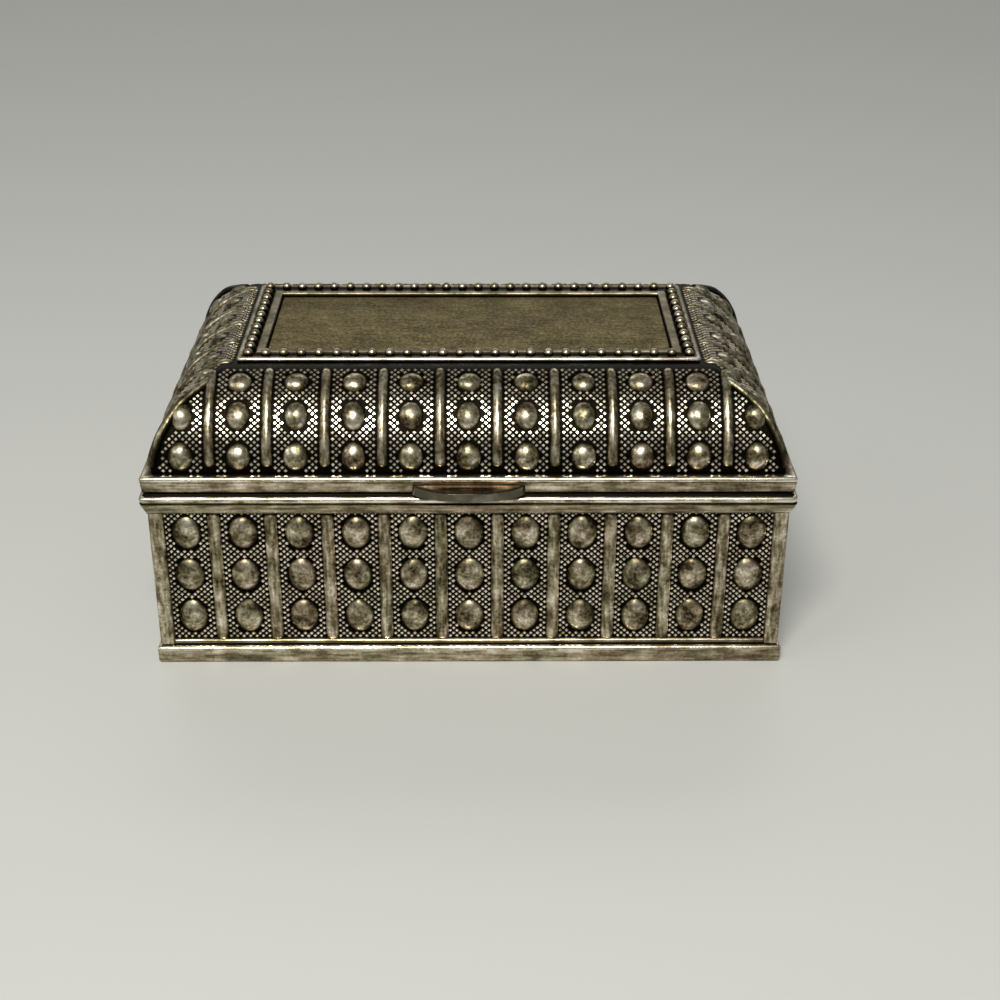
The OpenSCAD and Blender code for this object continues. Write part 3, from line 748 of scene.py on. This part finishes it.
def lid_shell():
    slope_start = math.degrees(math.asin((ledge_z - slope_z) / slope_r))
    slope_end = math.degrees(math.asin((lid_top_z - slope_z) / slope_r))
    inner_top = math.degrees(math.asin((ceiling_z - slope_z) / inner_r))
    outline = [(slope_c - inner_r, lid_z, 0.4), (1.2, lid_z, 0.1), (0.5, lid_z + 0.08, 0),
               (0.36, lid_z + 0.28, 0.1), (0.31, lid_z + 0.42, 0.75), (0.2, lid_z + 1.1, 0.95),
               (0.1, lid_z + 1.9, 0.95), (0.12, lid_z + 2.05, 0.25)]
    outline += arc(0.58, ledge_z - 0.56, 0.56, -15, 90, 8, 1.25)
    # The ledge's relief, 0.7 falling to 0.35, is painted shade that dulls the wall lamp's reflection on it.
    outline += [(0.95, ledge_z, 0.7), (1.3, ledge_z, 0.35), (1.5, ledge_z, 0.02)]
    outline += arc(slope_c, slope_z, slope_r, slope_start, slope_end, 18, 0)
    seat = frame_w + rim_w / 2 - frame_high.x
    outline += [(seat, lid_top_z, 0), (seat, plate_low.z - 0.02, 0)]
    inside = arc(slope_c, slope_z, inner_r, 0, inner_top, 12, 0.1)
    bm = bmesh.new()
    sweep(bm, rim_w / 2, rim_d / 2, inside[::-1] + outline, corner=0.6)
    wobble(bm, 0.05)
    pad_high = corners("hinge_leaf_lid")[1]
    pad_depth = 0.67
    pad_half = pad_high.x + 1.0
    inner_y = rim_d / 2 - slope_c + inner_r
    pad_height = pad_high.z - lid_z + 0.3
    place = Matrix.Translation((0, inner_y - pad_depth / 2 + 0.5, lid_z + pad_height / 2))
    place = place @ Matrix.Diagonal((2 * pad_half, pad_depth + 1, pad_height, 1))
    made = bmesh.ops.create_cube(bm, size=1, matrix=place)
    pad_edges = list(dict.fromkeys(e for v in made["verts"] for e in v.link_edges))
    bmesh.ops.bevel(bm, geom=pad_edges, offset=0.12, offset_type="OFFSET", segments=2, profile=0.5,
                    affect="EDGES", material=-1)
    piece = finish_piece(bm, "lid_shell", "lid", ground_silver, ["lid_casting"])
    notch_half = pad_high.x + 0.1
    carve(piece, [((-notch_half, inner_y - 2, lid_z - 1), (notch_half, rim_d / 2 + 3, lid_z + 0.57))])


def lid_ribs():
    bm = new_panel()
    for side, width, depth, turn in sides:
        panel = new_panel()
        ribs, _ = slope_layout(width)
        top = arc_length(rib_top_angle) + (0 if width == rim_w else end_run_on)
        for x in ribs:
            add_bar(panel, x, arc_length(rib_foot_angle), top, rib_w, rib_h, taper=0.12)
        mark_relief(panel, rib_h * 0.8)
        wobble(panel, 0.07, 5.0, 1.0)
        lay_on_slope(panel, width, depth, turn, fades[side])
        gather(bm, panel)
    finish_piece(bm, "lid_ribs", "lid", rib_silver, ["lid_casting"], sharp=70)


def lid_bosses():
    bm = new_panel()
    for side, width, depth, turn in sides:
        panel = new_panel()
        add_bosses(panel, slope_layout(width)[1])
        mark_relief(panel, boss_h * 0.55)
        dent(panel, 0.09, 1.3)
        lay_on_slope(panel, width, depth, turn, fades[side])
        gather(bm, panel)
    finish_piece(bm, "lid_bosses", "lid", boss_silver, ["lid_casting"], sharp=80)


def lid_stipple():
    bm = new_panel()
    hip_gap = 0.75 * hip_rib_w
    for side, width, depth, turn in sides:
        panel = new_panel()
        ribs, bosses = slope_layout(width)

        def hip_room(up, width=width):
            return slope_span(width, math.degrees(up / slope_r)) - hip_gap

        top = arc_length(68.5) + (0 if width == rim_w else end_run_on)
        add_studs(panel, width / 2, arc_length(8.6), top, ribs, rib_w / 2, bosses, hip_room)
        mark_relief(panel, stud_h * 0.7)
        lay_on_slope(panel, width, depth, turn, 0)
        gather(bm, panel)
    finish_piece(bm, "lid_stipple", "lid", stud_silver, ["lid_casting"], sharp=30)


def ground_at(x, y):
    """Height of the lid's ground at a place in plan."""
    inset = min(rim_w / 2 - abs(x), rim_d / 2 - abs(y))
    reach = max(0, slope_c - inset)
    return min(lid_top_z, slope_z + math.sqrt(max(0, slope_r ** 2 - reach ** 2)))


def hip_point(x_side, y_side, share):
    """A point on a hip rib's line. At the front it leaves the hip near its top and bends forward."""
    degrees = rib_foot_angle + (hip_top_angle - rib_foot_angle) * share
    reach = slope_r * math.cos(math.radians(degrees))
    bend = 0.9 * max(0, (degrees - 42) / 25) ** 1.5 if y_side < 0 else 0
    x = rim_w / 2 - slope_c + reach
    y = rim_d / 2 - slope_c + reach + bend
    return Vector((x_side * x, y_side * y, ground_at(x, y)))


def hip_ribs():
    bm = new_panel()
    relief = bm.verts.layers.float.get("relief")
    step = 0.01
    for x_side in (-1, 1):
        for y_side in (-1, 1):
            made = bmesh.ops.create_grid(bm, x_segments=10, y_segments=32, size=1)
            for v in made["verts"]:
                around = (v.co.x + 1) / 2 * math.pi
                share = (v.co.y + 1) / 2
                reach = min(1, min(share, 1 - share) / 0.05)
                cap = 0.15 + 0.85 * math.sqrt(max(0, 1 - (1 - reach) ** 2))
                here = hip_point(x_side, y_side, share)
                ahead = hip_point(x_side, y_side, share + step) - hip_point(x_side, y_side, share - step)
                ahead.normalize()
                across = ahead.cross(Vector((x_side, y_side, 0))).normalized()
                out = across.cross(ahead).normalized()
                if out.dot(Vector((x_side, y_side, 1))) < 0:
                    out = -out
                fade = fades["front" if y_side < 0 else "back"]
                height = hip_rib_h * crest(rib_foot_angle + (hip_top_angle - rib_foot_angle) * share, fade)
                rise = hip_rib_w / 2 * math.sin(around) * cap
                centre = here - out * (hip_rib_w / 2 - height)
                v.co = centre + across * hip_rib_w / 2 * math.cos(around) * cap + out * rise
                v[relief] = math.sin(around) ** 2 * (0.7 + 0.3 * share)
            close_bottom(bm, made["verts"])
    bmesh.ops.recalc_face_normals(bm, faces=bm.faces)
    wobble(bm, 0.06, 4.0, 1.0)
    finish_piece(bm, "hip_ribs", "lid", rib_silver, ["lid_casting"], sharp=70)


# Plaque

def plaque_frame():
    half_x, half_y = frame_high.x, frame_high.y
    lip = 0.42
    lip_z = lid_top_z + 0.38
    bed_z = lid_top_z + 0.4
    strip_z = lid_top_z + 0.66
    inner = frame_w - strip_w
    outline = [(frame_w, lid_top_z + 0.02, 0), (0.3, lid_top_z + 0.02, 0), (0.2, lid_top_z + 0.12, 0)]
    outline += arc(lip, lip_z, lip, -20, 140, 9, 1.1)
    outline += [(lip_w, bed_z + 0.1, 0.1), (lip_w + 0.1, bed_z, 0), (inner - 0.1, bed_z, 0),
                (inner, strip_z - 0.15, 0.1), (inner + 0.12, strip_z - 0.03, 0.6),
                (inner + 0.3, strip_z, 0.85), (frame_w - 0.35, strip_z, 0.85),
                (frame_w - 0.12, strip_z - 0.04, 1.1), (frame_w, strip_z - 0.2, 0.4)]
    bm = bmesh.new()
    sweep(bm, half_x, half_y, outline, closed=True, corner=0.6)
    wobble(bm, 0.03, 6.0)
    finish_piece(bm, "frame_moulding", "lid", frame_silver, ["plaque_frame"], sharp=55)


def frame_beads():
    half_x = frame_high.x - bead_inset
    half_y = frame_high.y - bead_inset
    count_x = round(2 * half_x / bead_pitch)
    count_y = round(2 * half_y / bead_pitch)
    places = [(hand * half_x, (2 * i / count_y - 1) * half_y) for hand in (-1, 1) for i in range(1, count_y)]
    places += [((2 * i / count_x - 1) * half_x, hand * half_y) for hand in (-1, 1)
               for i in range(count_x + 1)]
    ball = bmesh.new()
    bmesh.ops.create_uvsphere(ball, u_segments=16, v_segments=12, radius=bead_r)
    ball = as_mesh(ball, "bead")
    bm = new_panel()
    for x, y in places:
        nudge = [chance.uniform(-0.04, 0.04) for _ in range(3)]
        size = 0.97 + nudge[2]
        place = Matrix.Translation((x + nudge[0], y + nudge[1], 0))
        stamp(bm, ball, place @ Matrix.Diagonal((size, size, 1, 1)))
    bpy.data.meshes.remove(ball)
    mark_relief(bm, bead_r * 0.7)
    bmesh.ops.translate(bm, vec=(0, 0, bead_z), verts=bm.verts)
    finish_piece(bm, "frame_beads", "lid", frame_silver, ["plaque_frame"], sharp=80)


def plaque_plate():
    bm = bmesh.new()
    size = plate_high - plate_low
    place = Matrix.Translation((plate_high + plate_low) / 2) @ Matrix.Diagonal((*size, 1))
    bmesh.ops.create_cube(bm, size=1, matrix=place)
    rims = [e for e in bm.edges if all(v.co.z > plate_high.z - 0.01 for v in e.verts)]
    bmesh.ops.bevel(bm, geom=rims, offset=0.15, offset_type="OFFSET", segments=3, profile=0.5,
                    affect="EDGES", material=-1)
    finish_piece(bm, "plaque_panel", "lid", plaque_finish, ["plaque_plate"])


def thumb_tab():
    """A dished crescent with a rounded front edge, let into the lid rim."""
    half = tab_high.x
    out = -rim_d / 2 - tab_low.y
    thick = tab_high.z - tab_low.z
    root = 0.3
    squareness = 2.6
    fullness = 0.85
    dish_depth = 0.42
    lip_h = 0.12
    bm = bmesh.new()
    relief = bm.verts.layers.float.new("relief")
    made = bmesh.ops.create_grid(bm, x_segments=40, y_segments=10, size=1)
    for v in made["verts"]:
        across = v.co.x * (half - 0.05)
        depth = (v.co.y + 1) / 2
        reach = out * (1 - abs(across / half) ** squareness) ** fullness
        dish = dish_depth * math.sin(math.pi * min(1, depth * 1.05)) * max(0, 1 - (across / half) ** 2)
        lip = lip_h * max(0, depth - 0.8) / 0.2
        v.co = (across, -rim_d / 2 + root - depth * (reach + root), tab_high.z - 0.15 - dish + lip)
        # Low relief on the dish's top gives it tab_metal's painted brown reflection; the lip and front face
        # get 0.5.
        v[relief] = 0.12 + 0.38 * max(0, depth - 0.75) / 0.25
    edges = [e for e in bm.edges if e.is_boundary]
    bmesh.ops.recalc_face_normals(bm, faces=bm.faces)
    grown = bmesh.ops.extrude_face_region(bm, geom=bm.faces[:] + edges)
    lower = [g for g in grown["geom"] if isinstance(g, bmesh.types.BMVert)]
    for v in lower:
        v.co.z = tab_low.z + 0.25 * (1 - min(1, (v.co.x / half) ** 2))
        v[relief] = 0.5
    bmesh.ops.remove_doubles(bm, verts=bm.verts, dist=0.01)
    bmesh.ops.recalc_face_normals(bm, faces=bm.faces)
    edge = [e for e in bm.edges if len(e.link_faces) == 2 and e.calc_face_angle(0) > 0.9
            and e.verts[0].co.y < -rim_d / 2 - 0.1 and e.verts[1].co.y < -rim_d / 2 - 0.1]
    bmesh.ops.bevel(bm, geom=edge, offset=min(0.28, thick / 4), offset_type="OFFSET", segments=3,
                    profile=0.5, affect="EDGES", material=-1, clamp_overlap=True)
    finish_piece(bm, "tab", "lid", tab_finish, ["thumb_tab"])


# Lining

def soften(bm, amount):
    """Rounds the edges of a panel."""
    sharp = [e for e in bm.edges if len(e.link_faces) == 2 and e.calc_face_angle(0) > 0.9]
    bmesh.ops.bevel(bm, geom=sharp, offset=amount, offset_type="OFFSET", segments=3, profile=0.5,
                    affect="EDGES", material=-1, clamp_overlap=True)


def cloth_panel(half, low, high, thickness, notch=None):
    """A velvet-covered board, flat, as (along, up, out), with a notch of (half, low, high) if given."""
    steps_x, steps_y = 64, 20
    bm = bmesh.new()
    bmesh.ops.create_grid(bm, x_segments=steps_x, y_segments=steps_y, size=1)
    for v in bm.verts:
        share = (v.co.y + 1) / 2
        v.co = (v.co.x * half, low + (high - low) * share, 0)
    if notch:
        notch_half, notch_low, notch_high = notch
        gone = [f for f in bm.faces if abs(f.calc_center_median().x) < notch_half
                and notch_low < f.calc_center_median().y < notch_high]
        bmesh.ops.delete(bm, geom=gone, context="FACES")
    grown = bmesh.ops.extrude_face_region(bm, geom=bm.faces[:])
    front = [g for g in grown["geom"] if isinstance(g, bmesh.types.BMVert)]
    bmesh.ops.translate(bm, vec=(0, 0, thickness), verts=front)
    bmesh.ops.recalc_face_normals(bm, faces=bm.faces)
    soften(bm, thickness * 0.3)
    return bm


def box_linings():
    thickness = 1.1
    back_gap = 0.2
    for side, width, depth, turn in sides:
        node = "lining_" + side
        low, high = corners(node)
        half = (high.x - low.x if width == rim_w else high.y - low.y) / 2
        notch = None
        if side == "back":
            notch = (corners("hinge_leaf_box")[1].x + 0.5, corners("hinge_leaf_box")[0].z - 0.5, box_h)
        panel = cloth_panel(half, low.z, high.z, thickness, notch)
        for v in panel.verts:
            along, up, out = v.co
            v.co = (-along, cavity_inset + back_gap - depth / 2 + out, up)
        bmesh.ops.transform(panel, matrix=turned(turn), verts=panel.verts)
        piece = finish_piece(panel, node + "_velvet", "box", velvet_finish, [node])


def lid_linings():
    thickness = 1.1
    outer_r = inner_r - 0.2
    for side, width, depth, turn in sides:
        node = "lid_lining_" + side
        low, high = corners(node)
        start = math.degrees(math.asin(max(0, (low.z - slope_z) / outer_r)))
        end = math.degrees(math.asin((high.z - slope_z) / outer_r))
        notch = None
        if side == "back":
            leaf_high = corners("hinge_leaf_lid")[1]
            notch = (leaf_high.x + 1.5, 0, slope_r * math.asin((leaf_high.z + 0.6 - slope_z) / outer_r))
        panel = cloth_panel(width / 2, arc_length(start), arc_length(end), thickness, notch)
        for v in panel.verts:
            v.co.z -= thickness
        for v in panel.verts:
            angle = v.co.y / slope_r
            reach = outer_r + v.co.z
            v.co = (v.co.x, slope_c - depth / 2 - reach * math.cos(angle), slope_z + reach * math.sin(angle))
        for hand in (-1, 1):
            trim(panel, (hand * (width / 2 - 0.15), -depth / 2, 0), (hand, 1, 0))
        bmesh.ops.transform(panel, matrix=turned(turn), verts=panel.verts)
        piece = finish_piece(panel, node + "_velvet", "lid", velvet_finish, [node])


def lid_crown_lining():
    low, high = corners("lid_lining_top")
    thickness = high.z - low.z
    lap = 0.25
    drawn_in_depth = 0.6
    drawn_in_x = 0.985
    drawn_in_y = 0.97
    panel = cloth_panel(high.x + lap, low.y - lap, high.y + lap, thickness)
    for v in panel.verts:
        v.co = (v.co.x, v.co.y, low.z + v.co.z)
        if v.co.z > high.z - drawn_in_depth:
            v.co.x *= drawn_in_x
            v.co.y *= drawn_in_y
    piece = finish_piece(panel, "lid_lining_top_velvet", "lid", velvet_finish, ["lid_lining_top"])


def floor_pad():
    """A crowned pad whose sides pull in between its corners, with soft puckers along its edge."""
    low, high = corners("floor_pad")
    half_x, half_y = high.x - 0.1, high.y - 0.1
    edge_h = 3.2
    crown = high.z - low.z - 0.1
    edge_rise = edge_h * 0.55
    least_rise = 0.35
    pull = 0.5
    pucker_h = 0.12
    pucker_rate = 1.35
    bm = bmesh.new()
    bmesh.ops.create_grid(bm, x_segments=72, y_segments=44, size=1)
    for v in bm.verts:
        u, w = v.co.x, v.co.y
        x = u * (half_x - pull * (1 - w * w) * abs(u))
        y = w * (half_y - pull * (1 - u * u) * abs(w))
        swell = ((1 - u ** 6) * (1 - w ** 6)) ** 0.35
        dome = (1 - 0.55 * w * w) * (1 - 0.35 * u * u)
        pucker = (pucker_h * math.sin(x * pucker_rate) * abs(w) ** 8
                  + pucker_h * math.sin(y * pucker_rate) * abs(u) ** 8)
        rise = (edge_rise + (crown - edge_rise) * dome) * swell + least_rise
        uneven = 0.1 * noise.noise(Vector((x, y, 0)) / 7)
        v.co = (x, y, low.z + min(crown, max(least_rise, rise + pucker * swell + uneven)))
    bmesh.ops.recalc_face_normals(bm, faces=bm.faces)
    grown = bmesh.ops.extrude_face_region(bm, geom=bm.faces[:])
    bottom = [g for g in grown["geom"] if isinstance(g, bmesh.types.BMVert)]
    for v in bottom:
        v.co.z = low.z + 0.02
    bmesh.ops.recalc_face_normals(bm, faces=bm.faces)
    piece = finish_piece(bm, "floor_pad_velvet", "box", velvet_finish, ["floor_pad"], sharp=75)


def base_felt():
    low, high = corners("base_felt")
    thickness = high.z - low.z
    bm = cloth_panel(high.x - 0.02, low.y + 0.02, high.y - 0.02, thickness)
    bmesh.ops.translate(bm, vec=(0, 0, low.z), verts=bm.verts)
    piece = finish_piece(bm, "base_felt_sheet", "box", felt_finish, ["base_felt"])


def finish_kept_nodes():
    """The hinge, its rivets and the base plate keep their own shapes."""
    for node in ("hinge_leaf_box", "hinge_leaf_lid", "hinge_pin", "hinge_rivets_box", "hinge_rivets_lid",
                 "base_plate"):
        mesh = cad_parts[node].data
        mesh.materials.clear()
        mesh.materials.append(brass_finish)


# Stage

def new_light(name, size, power, distance, azimuth, elevation, aim, colour=(1, 1, 1)):
    lamp = bpy.data.lights.new(name, "AREA")
    lamp.shape = "RECTANGLE"
    lamp.size, lamp.size_y = size
    lamp.energy = power
    lamp.color = colour
    holder = bpy.data.objects.new(name, lamp)
    bpy.context.scene.collection.objects.link(holder)
    a, e = math.radians(azimuth), math.radians(elevation)
    toward = Vector((math.sin(a) * math.cos(e), -math.cos(a) * math.cos(e), math.sin(e)))
    holder.location = aim + toward * distance
    holder.rotation_mode = "QUATERNION"
    holder.rotation_quaternion = toward.to_track_quat("Z", "Y")


def lay_floor():
    bm = bmesh.new()
    bmesh.ops.create_grid(bm, x_segments=1, y_segments=1, size=3.0)
    floor = bpy.data.objects.new("counter", as_mesh(bm, "counter"))
    bpy.context.scene.collection.objects.link(floor)
    material, tree, shader = new_material("counter")
    shader.inputs["Base Color"].default_value = (0.43, 0.43, 0.405, 1)
    shader.inputs["Roughness"].default_value = 0.5
    floor.data.materials.append(material)


def light_world():
    world = bpy.data.worlds.new("room")
    bpy.context.scene.world = world
    world.use_nodes = True
    tree = world.node_tree
    tree.nodes.clear()
    room = add(tree, "Background", Color=(0.98, 1.0, 0.97, 1), Strength=0.24)
    out = tree.nodes.new("ShaderNodeOutputWorld")
    tree.links.new(room.outputs[0], out.inputs["Surface"])


def place_camera():
    """The camera that was fitted to the photograph's view of the casket."""
    place = Vector((2.47, -259.8, 146.66))
    tilt = (62.908, -0.191, -0.494)
    camera = bpy.data.cameras.new("camera")
    camera.lens = 59.48
    camera.sensor_width = 36
    camera.clip_start = 0.01
    holder = bpy.data.objects.new("camera", camera)
    bpy.context.scene.collection.objects.link(holder)
    holder.location = place * MM
    holder.rotation_euler = [math.radians(a) for a in tilt]
    bpy.context.scene.camera = holder


place_camera()
box_walls()
box_ribs()
box_bosses()
box_stipple()
lid_shell()
lid_ribs()
lid_bosses()
lid_stipple()
hip_ribs()
plaque_frame()
frame_beads()
plaque_plate()
thumb_tab()
box_linings()
lid_linings()
lid_crown_lining()
floor_pad()
base_felt()
finish_kept_nodes()

lay_floor()
light_world()
casket_middle = Vector((0, 0, 0.025))
behind = Vector((0, 0.45, 0.0))
new_light("softbox", (0.3, 0.18), 7.0, 0.75, -9, 50, casket_middle, (1.0, 0.99, 0.97))
new_light("fill", (0.9, 0.6), 2.5, 1.3, -65, 32, casket_middle, (0.99, 1.0, 0.99))
new_light("wall", (1.4, 0.4), 3.0, 0.9, 185, 60, behind, (1.0, 1.0, 0.99))
bpy.context.scene.view_settings.view_transform = "Standard"
